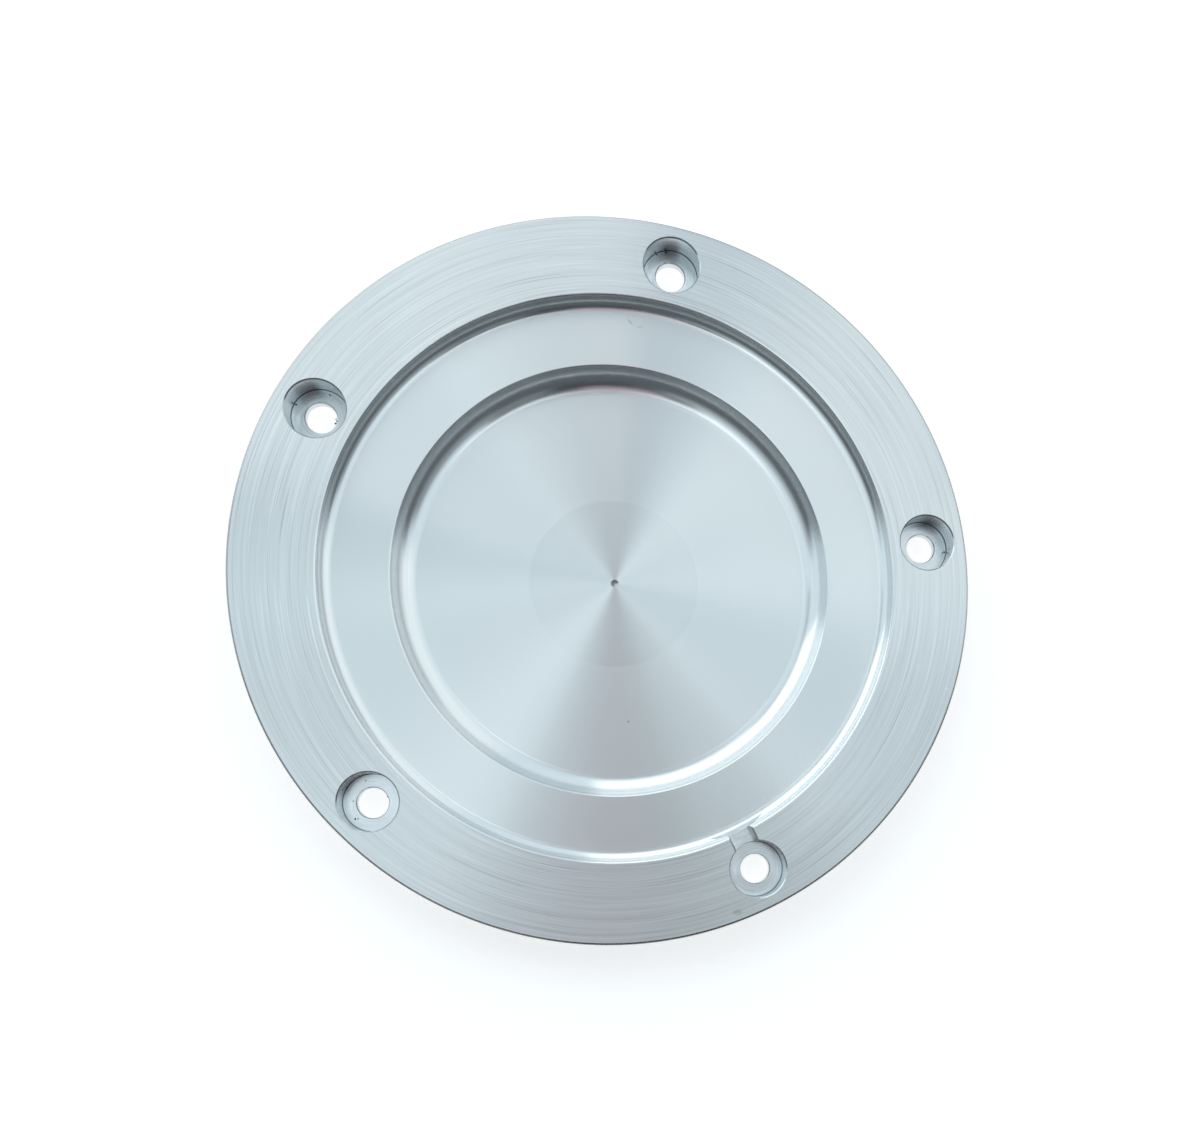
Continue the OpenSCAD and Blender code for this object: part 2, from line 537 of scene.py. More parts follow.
FINISHES: Tuple[MetalFinish, ...] = (
    MetalFinish(
        Zone.RIM, (0.83, 0.86, 0.87), roughness=0.33, anisotropy=0.95, pitch=0.26 * MM, arc=1.3, broad=2.0,
        depth=0.001 * MM, streak_tone=0.40, scratch_tone=0.20, streak_rough=0.10, patch_tone=0.03,
        marks=RIM_MARKS),
    MetalFinish(
        Zone.SHELF, (0.84, 0.87, 0.88), roughness=0.27, anisotropy=1.0, pitch=0.20 * MM, arc=0.8, broad=4.0,
        streak_tone=0.03, streak_rough=0.005, patch_tone=0.02, marks=SHELF_MARKS),
    MetalFinish(
        Zone.FLOOR, (0.84, 0.87, 0.88), roughness=0.27, anisotropy=1.0, pitch=0.20 * MM, arc=0.5, broad=4.0,
        streak_tone=0.02, streak_rough=0.005, patch_tone=0.02,
        disc_radius=17.8 * MM, disc_rough=-0.03, disc_tone=-0.05, marks=FLOOR_MARKS),
    MetalFinish(
        Zone.WALL, (0.86, 0.88, 0.89), roughness=0.17, anisotropy=0.95, pitch=0.20 * MM, arc=0.8, broad=4.0,
        streak_tone=0.08, scratch_tone=0.03, streak_rough=0.01, patch_tone=0.02),
    MetalFinish(
        Zone.BORE, (0.73, 0.77, 0.79), roughness=0.24, anisotropy=0.75, pitch=0.25 * MM, arc=0.8, broad=2.0,
        depth=0.001 * MM, streak_tone=0.30, scratch_tone=0.10, streak_rough=0.08, patch_tone=0.08,
        # The corner tone is painted shade, a dark line where the bore's wall meets its floor.
        corner=(5.9 * MM, 4.7 * MM), corner_shade_tone=-0.75),
    MetalFinish(
        Zone.MILLED, (0.80, 0.83, 0.85), roughness=0.30, anisotropy=0.30, pitch=0.25 * MM, arc=14.0,
        broad=3.0, depth=0.02 * MM, streak_tone=0.70, scratch_tone=0.20, streak_rough=0.20, patch_tone=0.10),
    # Painted shade: the outer edge gets a dark metal colour that stands in for the shade on the disc's side
    # wall and its rounded edge.
    MetalFinish(
        Zone.EDGE, (0.50, 0.50, 0.49), roughness=0.24, anisotropy=0.60, pitch=0.30 * MM, arc=1.5, broad=3.0,
        depth=0.003 * MM, streak_tone=0.16, scratch_tone=0.10, streak_rough=0.12, patch_tone=0.10),
    MetalFinish(
        Zone.BACK, (0.82, 0.84, 0.85), roughness=0.35, anisotropy=0.85, pitch=0.30 * MM, arc=1.5, broad=3.0,
        depth=0.003 * MM, streak_tone=0.16, scratch_tone=0.10, streak_rough=0.12, patch_tone=0.04),
)


@dataclass
class CoverSizes:
    """The cover's sizes, in metres. The mounts and the outer size come from the frame.

    Attributes:
        cover_r: Outer radius.
        rim_z: Level of the rim face.
        circle_r: Radius of the screw circle.
        hole_count: Number of screw holes.
        hole_r: Radius of the through-holes.
        pilot_r: Radius of the pilot.
        pilot_h: Level of the seating face.
    """

    cover_r: float
    rim_z: float
    circle_r: float
    hole_count: int
    hole_r: float
    pilot_r: float
    pilot_h: float
    rim_w: float = 17.0 * MM
    rim_edge_r: float = 0.5 * MM
    flange_chamfer: float = 0.4 * MM
    recess_depth: float = 2.8 * MM
    recess_foot_r: float = 2.2 * MM
    recess_lip_r: float = 0.5 * MM
    shelf_w: float = 13.7 * MM
    well_depth: float = 4.0 * MM
    well_foot_r: float = 4.5 * MM
    well_lip_r: float = 0.4 * MM
    centre_mark_r: float = 0.85 * MM
    centre_mark_depth: float = 0.8 * MM
    head_r: float = 5.9 * MM
    head_depth: float = 4.7 * MM
    head_chamfer: float = 0.25 * MM
    hole_chamfer: float = 0.2 * MM
    slot_w: float = 5.0 * MM
    slot_depth: float = 2.5 * MM
    slot_corner_r: float = 0.7 * MM
    slot_chamfer: float = 0.3 * MM
    slot_sweep_r: float = 16.0 * MM
    slot_sweep_gap: float = 0.1 * MM
    pilot_chamfer: float = 0.6 * MM
    first_hole_deg: float = -90.0

    @classmethod
    def from_frame(cls) -> "CoverSizes":
        """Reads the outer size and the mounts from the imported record.

        Returns:
            The sizes.
        """
        low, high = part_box(NODE)
        mounts = {mount["name"]: mount for mount in frame["record"]["mounts"]}
        screws, pilot = mounts["screw_holes"], mounts["pilot"]
        return cls(cover_r=(high.x - low.x) / 2, rim_z=high.z,
                   circle_r=screws["dims"]["pcd_mm"] * MM / 2, hole_count=screws["dims"]["count"],
                   hole_r=screws["dims"]["hole_r_mm"] * MM,
                   pilot_r=pilot["dims"]["r_mm"] * MM, pilot_h=screws["pos_m"][2])

    @property
    def recess_r(self) -> float:
        """Radius of the recess wall."""
        return self.cover_r - self.rim_w

    @property
    def well_r(self) -> float:
        """Radius of the well's wall."""
        return self.recess_r - self.shelf_w

    @property
    def recess_z(self) -> float:
        """Level of the shelf."""
        return self.rim_z - self.recess_depth

    @property
    def well_z(self) -> float:
        """Level of the well's floor."""
        return self.recess_z - self.well_depth

    @property
    def head_z(self) -> float:
        """Level of the counterbore floors."""
        return self.rim_z - self.head_depth

    @property
    def slot_z(self) -> float:
        """Level of the slot's floor."""
        return self.rim_z - self.slot_depth

    def hole_centres(self) -> List[Vector]:
        """Returns the screw holes' centres in the XY plane."""
        step = 2 * math.pi / self.hole_count
        start = math.radians(self.first_hole_deg)
        return [Vector((math.cos(start + i * step), math.sin(start + i * step), 0.0)) * self.circle_r
                for i in range(self.hole_count)]


class Lathe:
    """Turns half sections into closed meshes."""

    EDGE_GAP = 0.03 * MM
    LEAST_GAPS = 0.01
    LONG_GAPS = 8
    AXIS_REACH = 1e-9
    WELD_GAP = 1e-7
    SHARP_DEG = 32.0

    @staticmethod
    def arc(x: float, z: float, radius: float, start_deg: float, end_deg: float, steps: int) -> List[Point2]:
        """Makes the points of an arc round (x, z) in the half section, both ends included."""
        angles = [math.radians(start_deg + (end_deg - start_deg) * i / steps) for i in range(steps + 1)]
        return [(x + radius * math.cos(a), z + radius * math.sin(a)) for a in angles]

    @classmethod
    def foot(cls, wall_r: float, floor_z: float, climb: float, nose_r: float, steps: int) -> List[Point2]:
        """Makes the foot of a wall as the nose of a turning tool leaves it.

        A nose larger than the climb stops before the wall stands upright.

        Args:
            wall_r: The wall's radius.
            floor_z: The floor's level.
            climb: How far the foot and the wall rise.
            nose_r: The radius of the tool's nose.
            steps: Number of chords.

        Returns:
            The points, from the floor to the wall.
        """
        rise = min(nose_r, climb)
        reach = math.sqrt(rise * (2 * nose_r - rise))
        end_deg = -math.degrees(math.asin((nose_r - rise) / nose_r))
        return cls.arc(wall_r - reach, floor_z + nose_r, nose_r, -90, end_deg, steps)

    @classmethod
    def held(cls, points: Sequence[Point2]) -> List[Point2]:
        """Adds a point close to both ends of each long straight, so that flats shade flat.

        Args:
            points: The half section.

        Returns:
            The half section with the added points.
        """
        made = [points[0]]
        for (x0, z0), (x1, z1) in zip(points, points[1:]):
            length = math.hypot(x1 - x0, z1 - z0)
            if length < cls.LEAST_GAPS * cls.EDGE_GAP:
                continue
            if length > cls.LONG_GAPS * cls.EDGE_GAP:
                share = cls.EDGE_GAP / length
                made += [(x0 + (x1 - x0) * t, z0 + (z1 - z0) * t) for t in (share, 1 - share)]
            made.append((x1, z1))
        return made

    @classmethod
    def turn(cls, points: Sequence[Point2], segments: int) -> BMesh:
        """Revolves a half section that starts and ends on the axis.

        Args:
            points: The half section.
            segments: Number of steps round.

        Returns:
            A closed mesh whose faces point outwards.
        """
        mesh = bmesh.new()
        angles = [2 * math.pi * i / segments for i in range(segments)]
        rings: List[List[BMVert]] = []
        for x, z in points:
            if x < cls.AXIS_REACH:
                rings.append([mesh.verts.new((0.0, 0.0, z))] * segments)
            else:
                rings.append([mesh.verts.new((x * math.cos(a), x * math.sin(a), z)) for a in angles])
        for inner, outer in zip(rings, rings[1:]):
            for i in range(segments):
                j = (i + 1) % segments
                corners = dict.fromkeys((inner[i], outer[i], outer[j], inner[j]))
                mesh.faces.new(list(corners))
        bmesh.ops.recalc_face_normals(mesh, faces=mesh.faces)
        return mesh

    @staticmethod
    def to_object(mesh: BMesh, name: str) -> Object:
        """Makes an object of a mesh.

        Args:
            mesh: The mesh, which is freed.
            name: The object's name.

        Returns:
            The object, in the scene.
        """
        data = bpy.data.meshes.new(name)
        mesh.to_mesh(data)
        mesh.free()
        made = bpy.data.objects.new(name, data)
        bpy.context.collection.objects.link(made)
        return made


class CoverBody:
    """The turned disc with its holes and slot, as one mesh."""

    SEGMENTS = 360
    BORE_SEGMENTS = 96
    LIP_STEPS = 8
    WELL_FOOT_STEPS = 24
    RECESS_FOOT_STEPS = 16
    OVER = 1.0 * MM
    SLOT_FEET = 3
    TINY = 0.001 * MM
    LEVEL = 0.9999
    DOWN = -0.5

    def __init__(self, sizes: CoverSizes, groups: ShaderGroups) -> None:
        """Keeps the sizes and builds the finishes."""
        self.sizes = sizes
        self.materials = {finish.zone: finish.build(groups) for finish in FINISHES}

    def build(self) -> Object:
        """Turns the blank, cuts it and dresses it.

        Returns:
            The finished object.
        """
        blank = Lathe.to_object(Lathe.turn(Lathe.held(self._section()), self.SEGMENTS), "turned_cover")
        bore = Lathe.to_object(Lathe.turn(self._bore_section(), self.BORE_SEGMENTS), "bore_cutter")
        slot = self._slot_cutter()
        sweep = self._sweep_cutter()
        self._cut(blank, bore, [slot, sweep])
        for cutter in (bore, slot, sweep):
            bpy.data.objects.remove(cutter)
        self._sharpen(blank.data)
        self._dress(blank.data)
        return blank

    def _section(self) -> List[Point2]:
        """Draws the blank's half section, from the centre mark over the rim to the underside.

        Returns:
            The points.
        """
        s, lip = self.sizes, self.LIP_STEPS
        points: List[Point2] = [(0.0, s.well_z - s.centre_mark_depth), (s.centre_mark_r, s.well_z)]
        for wall_r, floor_z, depth, foot_r, lip_r, steps in (
                (s.well_r, s.well_z, s.well_depth, s.well_foot_r, s.well_lip_r, self.WELL_FOOT_STEPS),
                (s.recess_r, s.recess_z, s.recess_depth, s.recess_foot_r, s.recess_lip_r,
                 self.RECESS_FOOT_STEPS)):
            points += Lathe.foot(wall_r, floor_z, depth - lip_r, foot_r, steps)
            points += Lathe.arc(wall_r + lip_r, floor_z + depth - lip_r, lip_r, 180, 90, lip)
        points += Lathe.arc(s.cover_r - s.rim_edge_r, s.rim_z - s.rim_edge_r, s.rim_edge_r, 90, 0, lip)
        points += [(s.cover_r, s.pilot_h + s.flange_chamfer), (s.cover_r - s.flange_chamfer, s.pilot_h),
                   (s.pilot_r, s.pilot_h), (s.pilot_r, s.pilot_chamfer), (s.pilot_r - s.pilot_chamfer, 0.0),
                   (0.0, 0.0)]
        return points

    def _bore_section(self) -> List[Point2]:
        """Draws the half section of what a screw hole takes away.

        Returns:
            The points.
        """
        s = self.sizes
        mouth_r, top_z = s.head_r + 2 * s.head_chamfer, s.rim_z + self.OVER
        return [(0.0, -self.OVER), (s.hole_r, -self.OVER), (s.hole_r, s.head_z - s.hole_chamfer),
                (s.hole_r + s.hole_chamfer, s.head_z), (s.head_r, s.head_z),
                (s.head_r, s.rim_z - s.head_chamfer), (mouth_r, s.rim_z + s.head_chamfer),
                (mouth_r, top_z), (0.0, top_z)]

    def _slot_cutter(self) -> Object:
        """Makes what the slot takes away, from the recess to the middle of the first hole.

        Returns:
            The cutter.
        """
        s = self.sizes
        half, corner, chamfer = s.slot_w / 2, s.slot_corner_r, s.slot_chamfer
        right = Lathe.arc(half - corner, s.slot_z + corner, corner, -90, 0, self.LIP_STEPS)
        right += [(half, s.rim_z - chamfer), (half + 2 * chamfer, s.rim_z + chamfer),
                  (half + 2 * chamfer, s.rim_z + self.OVER)]
        outline = right + [(-x, z) for x, z in reversed(right)]
        mesh = bmesh.new()
        ends = []
        for y in (-(s.recess_r - self.SLOT_FEET * s.recess_foot_r), -s.circle_r):
            ends.append([mesh.verts.new((x, y, z)) for x, z in outline])
        count = len(outline)
        for i in range(count):
            j = (i + 1) % count
            mesh.faces.new((ends[0][i], ends[0][j], ends[1][j], ends[1][i]))
        mesh.faces.new(ends[0])
        mesh.faces.new(ends[1])
        bmesh.ops.recalc_face_normals(mesh, faces=mesh.faces)
        return Lathe.to_object(mesh, "slot_cutter")

    def _sweep_cutter(self) -> Object:
        """Makes the round sweep that the slot's cutter left along the recess foot.

        Returns:
            The cutter.
        """
        s = self.sizes
        outline = [(0.0, s.slot_z), (s.slot_sweep_r, s.slot_z),
                   (s.slot_sweep_r, s.rim_z + self.OVER), (0.0, s.rim_z + self.OVER)]
        mesh = Lathe.turn(outline, self.SEGMENTS)
        shift = Vector((0.0, s.slot_sweep_r - s.recess_r + s.slot_sweep_gap, 0.0))
        bmesh.ops.translate(mesh, vec=shift, verts=mesh.verts)
        return Lathe.to_object(mesh, "sweep_cutter")

    def _cut(self, blank: Object, bore: Object,
             slots: Sequence[Object]) -> None:
        """Cuts the ring of screw holes and the slot with a node tree.

        Args:
            blank: The turned blank, whose mesh is replaced.
            bore: What one screw hole takes away, on the Z axis.
            slots: What else is taken away.
        """
        tree = ShapeTree("screw_hole_ring", {
            "Holes": ("NodeSocketInt", self.sizes.hole_count),
            "Circle Radius": ("NodeSocketFloat", self.sizes.circle_r),
            "First Angle": ("NodeSocketFloat", math.radians(self.sizes.first_hole_deg)),
            "Finish": ("NodeSocketMaterial", self.materials[Zone.BACK])})
        sheet, given = tree.sheet, tree.given
        circle = sheet.add("GeometryNodeMeshCircle", {
            "Vertices": given["Holes"], "Radius": given["Circle Radius"]})
        turned = sheet.add("GeometryNodeTransform", {
            "Geometry": circle.outputs["Mesh"], "Rotation": sheet.join(0.0, 0.0, given["First Angle"])})
        ring = sheet.add("GeometryNodeInstanceOnPoints", {
            "Points": turned.outputs[0], "Instance": self._cutter(sheet, bore)})
        solid = sheet.add("GeometryNodeRealizeInstances", {0: ring.outputs[0]})
        cut = sheet.add("GeometryNodeMeshBoolean", {
            "Self Intersection": True, "Mesh 1": given["Geometry"], "Mesh 2": solid.outputs[0]},
            operation="DIFFERENCE", solver="EXACT")
        for slot in slots:
            sheet.fill(cut, {"Mesh 2": self._cutter(sheet, slot)})
        tree.apply(cut.outputs["Mesh"], blank)

    @staticmethod
    def _cutter(sheet: NodeSheet, cutter: Object) -> Socket:
        """Adds a node that brings a cutter's mesh into the tree."""
        return sheet.add("GeometryNodeObjectInfo", {"Object": cutter}).outputs["Geometry"]

    @staticmethod
    def _sharpen(data: Mesh) -> None:
        """Shades the mesh smooth, apart from its sharp edges.

        Args:
            data: The mesh.
        """
        mesh = bmesh.new()
        mesh.from_mesh(data)
        bmesh.ops.remove_doubles(mesh, verts=mesh.verts, dist=Lathe.WELD_GAP)
        limit = math.radians(Lathe.SHARP_DEG)
        for face in mesh.faces:
            face.smooth = True
        for edge in mesh.edges:
            edge.smooth = len(edge.link_faces) == 2 and edge.calc_face_angle(0.0) < limit
        mesh.to_mesh(data)
        mesh.free()

    def _dress(self, data: Mesh) -> None:
        """Gives each face its finish and the axis that it was turned on.

        Args:
            data: The mesh.
        """
        data.materials.clear()
        order = list(Zone)
        for zone in order:
            data.materials.append(self.materials[zone])
        holes = self.sizes.hole_centres()
        found = [self._zone(face.center, face.normal, holes) for face in data.polygons]
        data.polygons.foreach_set("material_index", [order.index(zone) for zone, _ in found])
        centres = data.attributes.new(CENTRE_ATTRIBUTE, "FLOAT_VECTOR", "FACE")
        centres.data.foreach_set("vector", [value for _, centre in found for value in centre])
        data.update()

    def _zone(self, place: Vector, normal: Vector, holes: Sequence[Vector]) -> Tuple[Zone, Vector]:
        """Finds which surface a face belongs to.

        Args:
            place: The face's middle.
            normal: The face's normal.
            holes: The screw holes' centres.

        Returns:
            The surface, and the axis that it was turned on.
        """
        s, tiny = self.sizes, self.TINY
        flat = Vector((place.x, place.y, 0.0))
        axis = Vector((0.0, 0.0, 0.0))
        below_rim = place.z < s.rim_z - tiny
        if below_rim and place.z > s.pilot_h + tiny:
            for hole in holes:
                if (flat - hole).length < s.head_r + s.head_chamfer + tiny:
                    return Zone.BORE, hole
        radius = flat.length
        beyond = s.recess_r - s.recess_foot_r < radius < s.circle_r and place.y < 0
        on_slot = below_rim and beyond and abs(place.x) < s.slot_w
        if on_slot and (radius > s.recess_r + s.recess_lip_r or abs(place.z - s.slot_z) < tiny):
            return Zone.MILLED, axis
        if radius > s.cover_r - s.rim_edge_r and normal.z > self.DOWN:
            return Zone.EDGE, axis
        if place.z < s.well_z - tiny and radius > s.well_r or normal.z < self.DOWN:
            return Zone.BACK, axis
        if not below_rim:
            return Zone.RIM, axis
        if normal.z > self.LEVEL:
            for zone, level in ((Zone.SHELF, s.recess_z), (Zone.FLOOR, s.well_z)):
                if abs(place.z - level) < tiny:
                    return zone, axis
        return Zone.WALL, axis


@dataclass(frozen=True)
class Chip:
    """A speck of dark swarf that stuck on a counterbore's floor.

    Attributes:
        hole: Which screw hole it lies in, counted from the slotted one.
        off_mm: Its distance from the hole's axis.
        turn_deg: The way to it from the hole's axis.
        size_mm: Its width.
    """

    hole: int
    off_mm: float
    turn_deg: float
    size_mm: float


class Swarf:
    """The specks of swarf that the deburring left in four of the counterbores."""

    CHIPS: Tuple[Chip, ...] = (
        Chip(1, 5.5, -32, 0.42), Chip(1, 5.1, -34, 0.26), Chip(1, 3.9, -3, 0.22),
        Chip(2, 5.5, 73, 0.48), Chip(2, 5.6, 95, 0.34), Chip(2, 3.3, 84, 0.30),
        Chip(3, 5.5, 127, 0.44), Chip(3, 5.1, 45, 0.36), Chip(3, 2.9, -28, 0.34),
        Chip(3, 3.1, -36, 0.40), Chip(3, 3.0, -46, 0.50),
        Chip(4, 4.7, -162, 0.46), Chip(4, 4.3, -157, 0.26), Chip(4, 4.7, 82, 0.26),
        Chip(4, 3.8, 149, 0.26), Chip(4, 3.1, -2, 0.32),
    )
    SEED = 7
    SIZE_ATTRIBUTE = "size"
    RAISED = 0.1
    BALL_R = 0.5
    BALL_STEPS = 2
    LEAST_SHAPE: Point3 = (0.8, 0.6, 0.35)
    MOST_SHAPE: Point3 = (1.3, 0.9, 0.5)
    DARK: Colour = (0.004, 0.006, 0.008)
    OILY: Colour = (0.022, 0.026, 0.028)
    PATCH = 2 * MM
    ROUGHNESS = 0.35
    GRIT_ROUGH = 0.3

    def __init__(self, sizes: CoverSizes, groups: ShaderGroups) -> None:
        """Keeps the sizes and the shared effects."""
        self.sizes = sizes
        self.groups = groups

    def build(self) -> Object:
        """Scatters the specks with a node tree.

        Returns:
            The specks as one object.
        """
        piece = self._points()
        tree = ShapeTree(piece.name, {"Seed": ("NodeSocketInt", self.SEED),
                                      "Finish": ("NodeSocketMaterial", self._finish())})
        sheet, given = tree.sheet, tree.given
        speck = sheet.add("GeometryNodeMeshIcoSphere", {
            "Radius": self.BALL_R, "Subdivisions": self.BALL_STEPS})
        size = sheet.add("GeometryNodeInputNamedAttribute", {"Name": self.SIZE_ATTRIBUTE}, data_type="FLOAT")
        turn = self._random(sheet, given["Seed"], (0.0, 0.0, 0.0), (0.0, 0.0, 2 * math.pi))
        shape = self._random(sheet, given["Seed"], self.LEAST_SHAPE, self.MOST_SHAPE)
        scale = sheet.add("ShaderNodeVectorMath", operation="SCALE")
        sheet.fill(scale, {0: shape, "Scale": size.outputs["Attribute"]})
        spread = sheet.add("GeometryNodeInstanceOnPoints", {
            "Points": given["Geometry"], "Instance": speck.outputs["Mesh"], "Rotation": turn,
            "Scale": scale.outputs[0]})
        tree.apply(spread.outputs[0], piece)
        return piece

    def _points(self) -> Object:
        """Makes a point for each speck, with its size.

        Returns:
            The points as an object.
        """
        holes = self.sizes.hole_centres()
        mesh = bmesh.new()
        layer = mesh.verts.layers.float.new(self.SIZE_ATTRIBUTE)
        for chip in self.CHIPS:
            turn, size = math.radians(chip.turn_deg), chip.size_mm * MM
            place = holes[chip.hole] + Vector((math.cos(turn), math.sin(turn), 0.0)) * (chip.off_mm * MM)
            place.z = self.sizes.head_z + self.RAISED * size
            mesh.verts.new(place)[layer] = size
        return Lathe.to_object(mesh, "swarf_specks")

    @staticmethod
    def _random(sheet: NodeSheet, seed: Socket, low: Point3, high: Point3) -> Socket:
        """Adds a random vector for each speck, between two limits."""
        feeds = {0: low, 1: high, "Seed": seed}
        return sheet.add("FunctionNodeRandomValue", feeds, data_type="FLOAT_VECTOR").outputs[0]

    def _finish(self) -> Material:
        """Builds the oily dark metal of the specks.

        Returns:
            The material.
        """
        material, sheet, shader = new_material("dark_swarf")
        here = sheet.add("ShaderNodeTexCoord").outputs["Object"]
        grit = sheet.group(self.groups.cloud, here, {"Patch": self.PATCH})["Grit"]
        sheet.fill(shader, {"Base Color": sheet.mix(grit, self.DARK, self.OILY),
                            "Roughness": sheet.plus(self.ROUGHNESS, grit, self.GRIT_ROUGH)})
        return material


@dataclass(frozen=True)
class PhotoCamera:
    """A camera that sees the cover as the photograph does.

    Attributes:
        stands_at: Where it stands, in metres.
        looks_at: A point on its axis, in metres.
        roll_deg: Its roll about its axis.
        lens_mm: Its focal length on a 36 mm wide sensor.
        shift: Its shift, as shares of the picture's width.
    """

    stands_at: Point3 = (-28.4 * MM, -48.1 * MM, 214.3 * MM)
    looks_at: Point3 = (2.3 * MM, -52.6 * MM, 0.0)
    roll_deg: float = 72.3
    lens_mm: float = 30.0
    shift: Point2 = (-0.11, 0.19)

    SENSOR_MM: ClassVar[float] = 36.0
    CLIP_START: ClassVar[float] = 0.01

    def build(self) -> None:
        """Makes the camera and gives it to the scene."""
        data = bpy.data.cameras.new("photo_camera")
        data.sensor_fit = "HORIZONTAL"
        data.sensor_width = self.SENSOR_MM
        data.lens = self.lens_mm
        data.shift_x, data.shift_y = self.shift
        data.clip_start = self.CLIP_START
        camera = bpy.data.objects.new("photo_camera", data)
        bpy.context.collection.objects.link(camera)
        camera.location = self.stands_at
        direction = Vector(self.looks_at) - Vector(self.stands_at)
        aim = direction.to_track_quat("-Z", "Y")
        camera.rotation_mode = "QUATERNION"
        camera.rotation_quaternion = aim @ Quaternion((0.0, 0.0, 1.0), math.radians(self.roll_deg))
        bpy.context.scene.camera = camera


@dataclass(frozen=True)
class RoomPole:
    """The way round which the room is laid out: to the camera, turned half round the cover's axis.

    A turned face spreads what it mirrors along a plane through this pole, so that an edge of the room
    that runs towards it shows as a crisp wedge.

    Attributes:
        eye: Where the camera stands, in metres.
        right_deg: Azimuth of the picture's right-hand side, where turns round the pole start.
    """

    eye: Point3 = PhotoCamera.stands_at
    right_deg: float = -26.0

    def axes(self) -> Tuple[Vector, Vector, Vector]:
        """Returns the axes that point right in the picture, up in it, and to the pole."""
        x, y, z = self.eye
        pole = Vector((-x, -y, z)).normalized()
        turn = math.radians(self.right_deg)
        right = Vector((math.cos(turn), math.sin(turn), 0.0))
        right = (right - pole * right.dot(pole)).normalized()
        return right, pole.cross(right), pole


class Tint(Enum):
    """The tints of the room's light."""

    PALE = (0.88, 0.97, 1.0)
    COOL = (0.80, 0.93, 1.0)
    ROSE = (1.0, 0.78, 0.90)

    def at(self, level: float) -> Colour:
        """Returns the tint at a level of brightness."""
        red, green, blue = self.value
        return level * red, level * green, level * blue


@dataclass(frozen=True)
class RoomArea:
    """An area of the room that the metal mirrors.

    Attributes:
        start_deg: Where it starts, as a turn round the pole.
        end_deg: Where it ends.
        low_deg: Height of its lower edge, where the pole is at 90.
        high_deg: Height of its upper edge.
        level: Its brightness.
        tint: Its tint.
        side_soft_deg: How soft its sides are.
        end_soft_deg: How soft its upper and lower edges are.
    """

    GROUND: ClassVar[float] = -90.0

    start_deg: float
    end_deg: float
    low_deg: float
    high_deg: float
    level: float
    tint: Tint = Tint.COOL
    side_soft_deg: float = 5.0
    end_soft_deg: float = 8.0

    def mask(self, sheet: NodeSheet, turn: Socket, height: Socket) -> Socket:
        """Adds the mask of the area.

        Args:
            sheet: The world's nodes.
            turn: The look direction's turn round the pole.
            height: The look direction's height.

        Returns:
            The mask's socket.
        """
        middle, half = (self.start_deg + self.end_deg) / 2, (self.end_deg - self.start_deg) / 2
        off = sheet.math("SUBTRACT", turn, math.radians(middle))
        off = sheet.math("ABSOLUTE", sheet.math("WRAP", off, math.pi, -math.pi))
        inner, outer = math.radians(half - self.side_soft_deg), math.radians(half + self.side_soft_deg)
        rise = math.radians(self.end_soft_deg)
        low, high = math.radians(self.low_deg), math.radians(self.high_deg)
        above = sheet.smooth(height, low - rise, low + rise)
        below = sheet.fade(height, high - rise, high + rise)
        return sheet.math("MULTIPLY", sheet.fade(off, inner, outer), sheet.math("MULTIPLY", above, below))


@dataclass(frozen=True)
class RoomSpot:
    """A round spot of the room, such as a lamp, that the metal mirrors.

    Attributes:
        turn_deg: Its turn round the pole.
        height_deg: Its height, where the pole is at 90.
        radius_deg: Its radius.
        level: Its brightness.
        tint: Its tint.
        soft_deg: How soft its edge is.
    """

    turn_deg: float
    height_deg: float
    radius_deg: float
    level: float
    tint: Tint = Tint.PALE
    soft_deg: float = 2.0

    def mask(self, sheet: NodeSheet, look: Socket) -> Socket:
        """Adds the mask of the spot.

        Args:
            sheet: The world's nodes.
            look: The look direction along the pole's axes.

        Returns:
            The mask's socket.
        """
        turn, height = math.radians(self.turn_deg), math.radians(self.height_deg)
        flat = math.cos(height)
        middle = (flat * math.cos(turn), flat * math.sin(turn), math.sin(height))
        off = sheet.math("ARCCOSINE", sheet.vector("DOT_PRODUCT", look, middle))
        inner = math.radians(self.radius_deg - self.soft_deg)
        return sheet.fade(off, inner, math.radians(self.radius_deg + self.soft_deg))


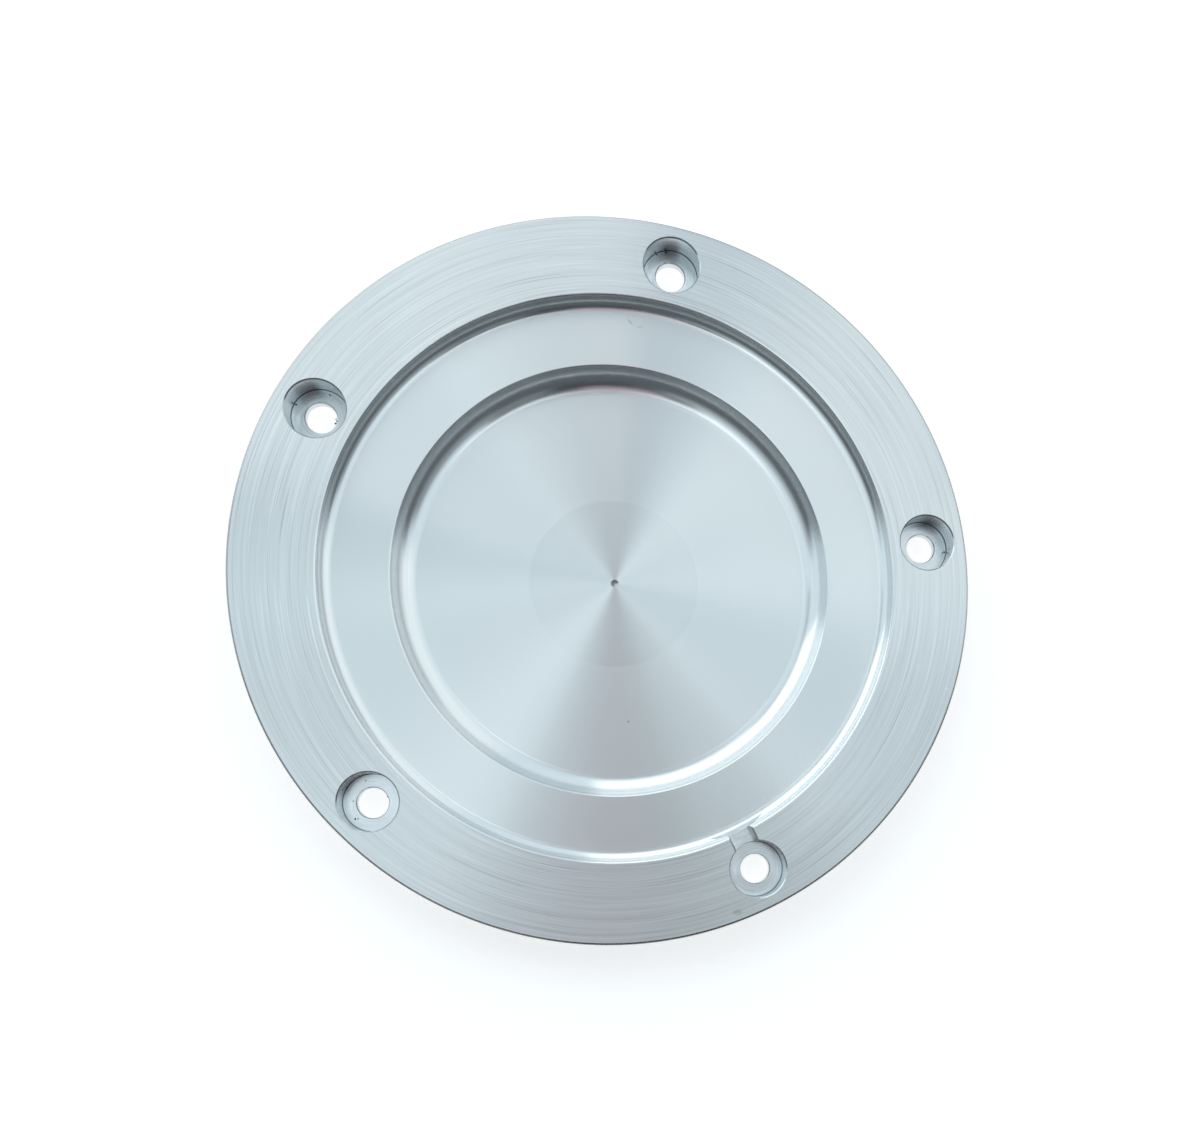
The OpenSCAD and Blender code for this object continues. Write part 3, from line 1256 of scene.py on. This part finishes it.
@dataclass
class Studio:
    """The pale floor, the room that lights the cover, and the camera.

    Attributes:
        pole: The way round which the room is laid out.
        sky: The room's colour round the pole.
        areas: What stands round the cover, from back to front.
        spots: Lamps and dark places overhead, from back to front.
        floor_half: Half the floor's width.
        floor_colour: The floor's colour.
        floor_rough: The floor's roughness.
        floor_lift: How much the floor glows for the camera.
    """

    pole: RoomPole = RoomPole()
    sky: Colour = Tint.COOL.at(0.9)
    areas: Tuple[RoomArea, ...] = (
        RoomArea(0, 60, RoomArea.GROUND, 85, 1.0, Tint.PALE),  # pale wall
        RoomArea(-20, 45, RoomArea.GROUND, 25, 0.55, end_soft_deg=15),  # foot of that wall
        RoomArea(85, 160, RoomArea.GROUND, 70, 1.45, Tint.PALE, side_soft_deg=2),  # window
        RoomArea(130, 178, 66, 72, 0.02, side_soft_deg=2, end_soft_deg=2),  # beam over the window
        RoomArea(245, 310, RoomArea.GROUND, 88, 0.1),  # dark side of the room
        RoomArea(265, 295, 30, 55, 0.04, side_soft_deg=2),  # its darkest part
        RoomArea(255, 280, 55, 85, 0.35, Tint.ROSE, side_soft_deg=1, end_soft_deg=2),  # warm panel
        RoomArea(185, 360, RoomArea.GROUND, 35, 0.12),  # low benches
        RoomArea(185, 255, 35, 50, 0.45),  # shelves on the left
        RoomArea(290, 350, 35, 55, 0.25),  # shelves on the right
        RoomArea(355, 367, 55, 85, 1.05, Tint.PALE, side_soft_deg=1, end_soft_deg=3),  # strip of light
    )
    spots: Tuple[RoomSpot, ...] = (
        RoomSpot(98, 83, 3, 0.02, soft_deg=1),  # the camera's own dark front
        RoomSpot(300, 76, 5, 1.5, soft_deg=3),  # lamp on the right
        RoomSpot(240, 74, 6, 1.6, soft_deg=4),  # lamp on the left
    )
    floor_half: float = 3.0
    floor_colour: Colour = (0.86, 0.84, 0.83)
    floor_rough: float = 0.9
    floor_lift: float = 0.55

    WHITE: ClassVar[Colour] = (1.0, 1.0, 1.0)

    def build(self) -> None:
        """Builds the floor and the room."""
        self._floor()
        self._room()
        bpy.context.scene.view_settings.view_transform = "Standard"

    def _floor(self) -> None:
        """Builds the floor, which is white to the camera and keeps the cover's shadow."""
        mesh = bmesh.new()
        bmesh.ops.create_grid(mesh, x_segments=1, y_segments=1, size=self.floor_half)
        floor = Lathe.to_object(mesh, "pale_floor")
        material, sheet, shader = new_material("pale_floor")
        path = sheet.add("ShaderNodeLightPath").outputs
        seen = sheet.math("MAXIMUM", path["Is Camera Ray"], path["Is Glossy Ray"])
        seen = sheet.math("MAXIMUM", seen, path["Is Transmission Ray"])
        sheet.fill(shader, {
            "Base Color": (*self.floor_colour, 1.0), "Roughness": self.floor_rough,
            "Specular IOR Level": 0.0, "Emission Color": (*self.WHITE, 1.0),
            "Emission Strength": sheet.math("MULTIPLY", seen, self.floor_lift)})
        floor.data.materials.append(material)

    def _room(self) -> None:
        """Builds the room as the world's light."""
        world = bpy.data.worlds.new("workshop_light")
        bpy.context.scene.world = world
        world.use_nodes = True
        sheet = NodeSheet(world.node_tree)
        look = sheet.add("ShaderNodeTexCoord").outputs["Generated"]
        x, y, z = (sheet.vector("DOT_PRODUCT", look, tuple(axis)) for axis in self.pole.axes())
        turn, height = sheet.math("ARCTAN2", y, x), sheet.math("ARCSINE", z)
        along = sheet.join(x, y, z)
        colour: object = self.sky
        for area in self.areas:
            colour = sheet.mix(area.mask(sheet, turn, height), colour, area.tint.at(area.level))
        for spot in self.spots:
            colour = sheet.mix(spot.mask(sheet, along), colour, spot.tint.at(spot.level))
        path = sheet.add("ShaderNodeLightPath").outputs
        colour = sheet.mix(path["Is Camera Ray"], colour, self.WHITE)
        background = sheet.add("ShaderNodeBackground", {"Color": colour})
        sheet.add("ShaderNodeOutputWorld", {"Surface": background.outputs[0]})


def report_piece(piece: Object) -> None:
    """Logs a finished piece's size."""
    triangles = sum(len(face.vertices) - 2 for face in piece.data.polygons)
    LOG.info("%s: %d triangles", piece.name, triangles)


def main() -> None:
    """Builds the camera, the studio and the cover."""
    logging.basicConfig(level=logging.INFO, format="%(name)s: %(message)s")
    PhotoCamera().build()
    Studio().build()
    groups = ShaderGroups()
    sizes = CoverSizes.from_frame()
    cover = CoverBody(sizes, groups).build()
    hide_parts(NODE)
    swarf = Swarf(sizes, groups).build()
    for piece in (cover, swarf):
        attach(piece, "root")
        report_piece(piece)


if __name__ == "__main__":
    main()
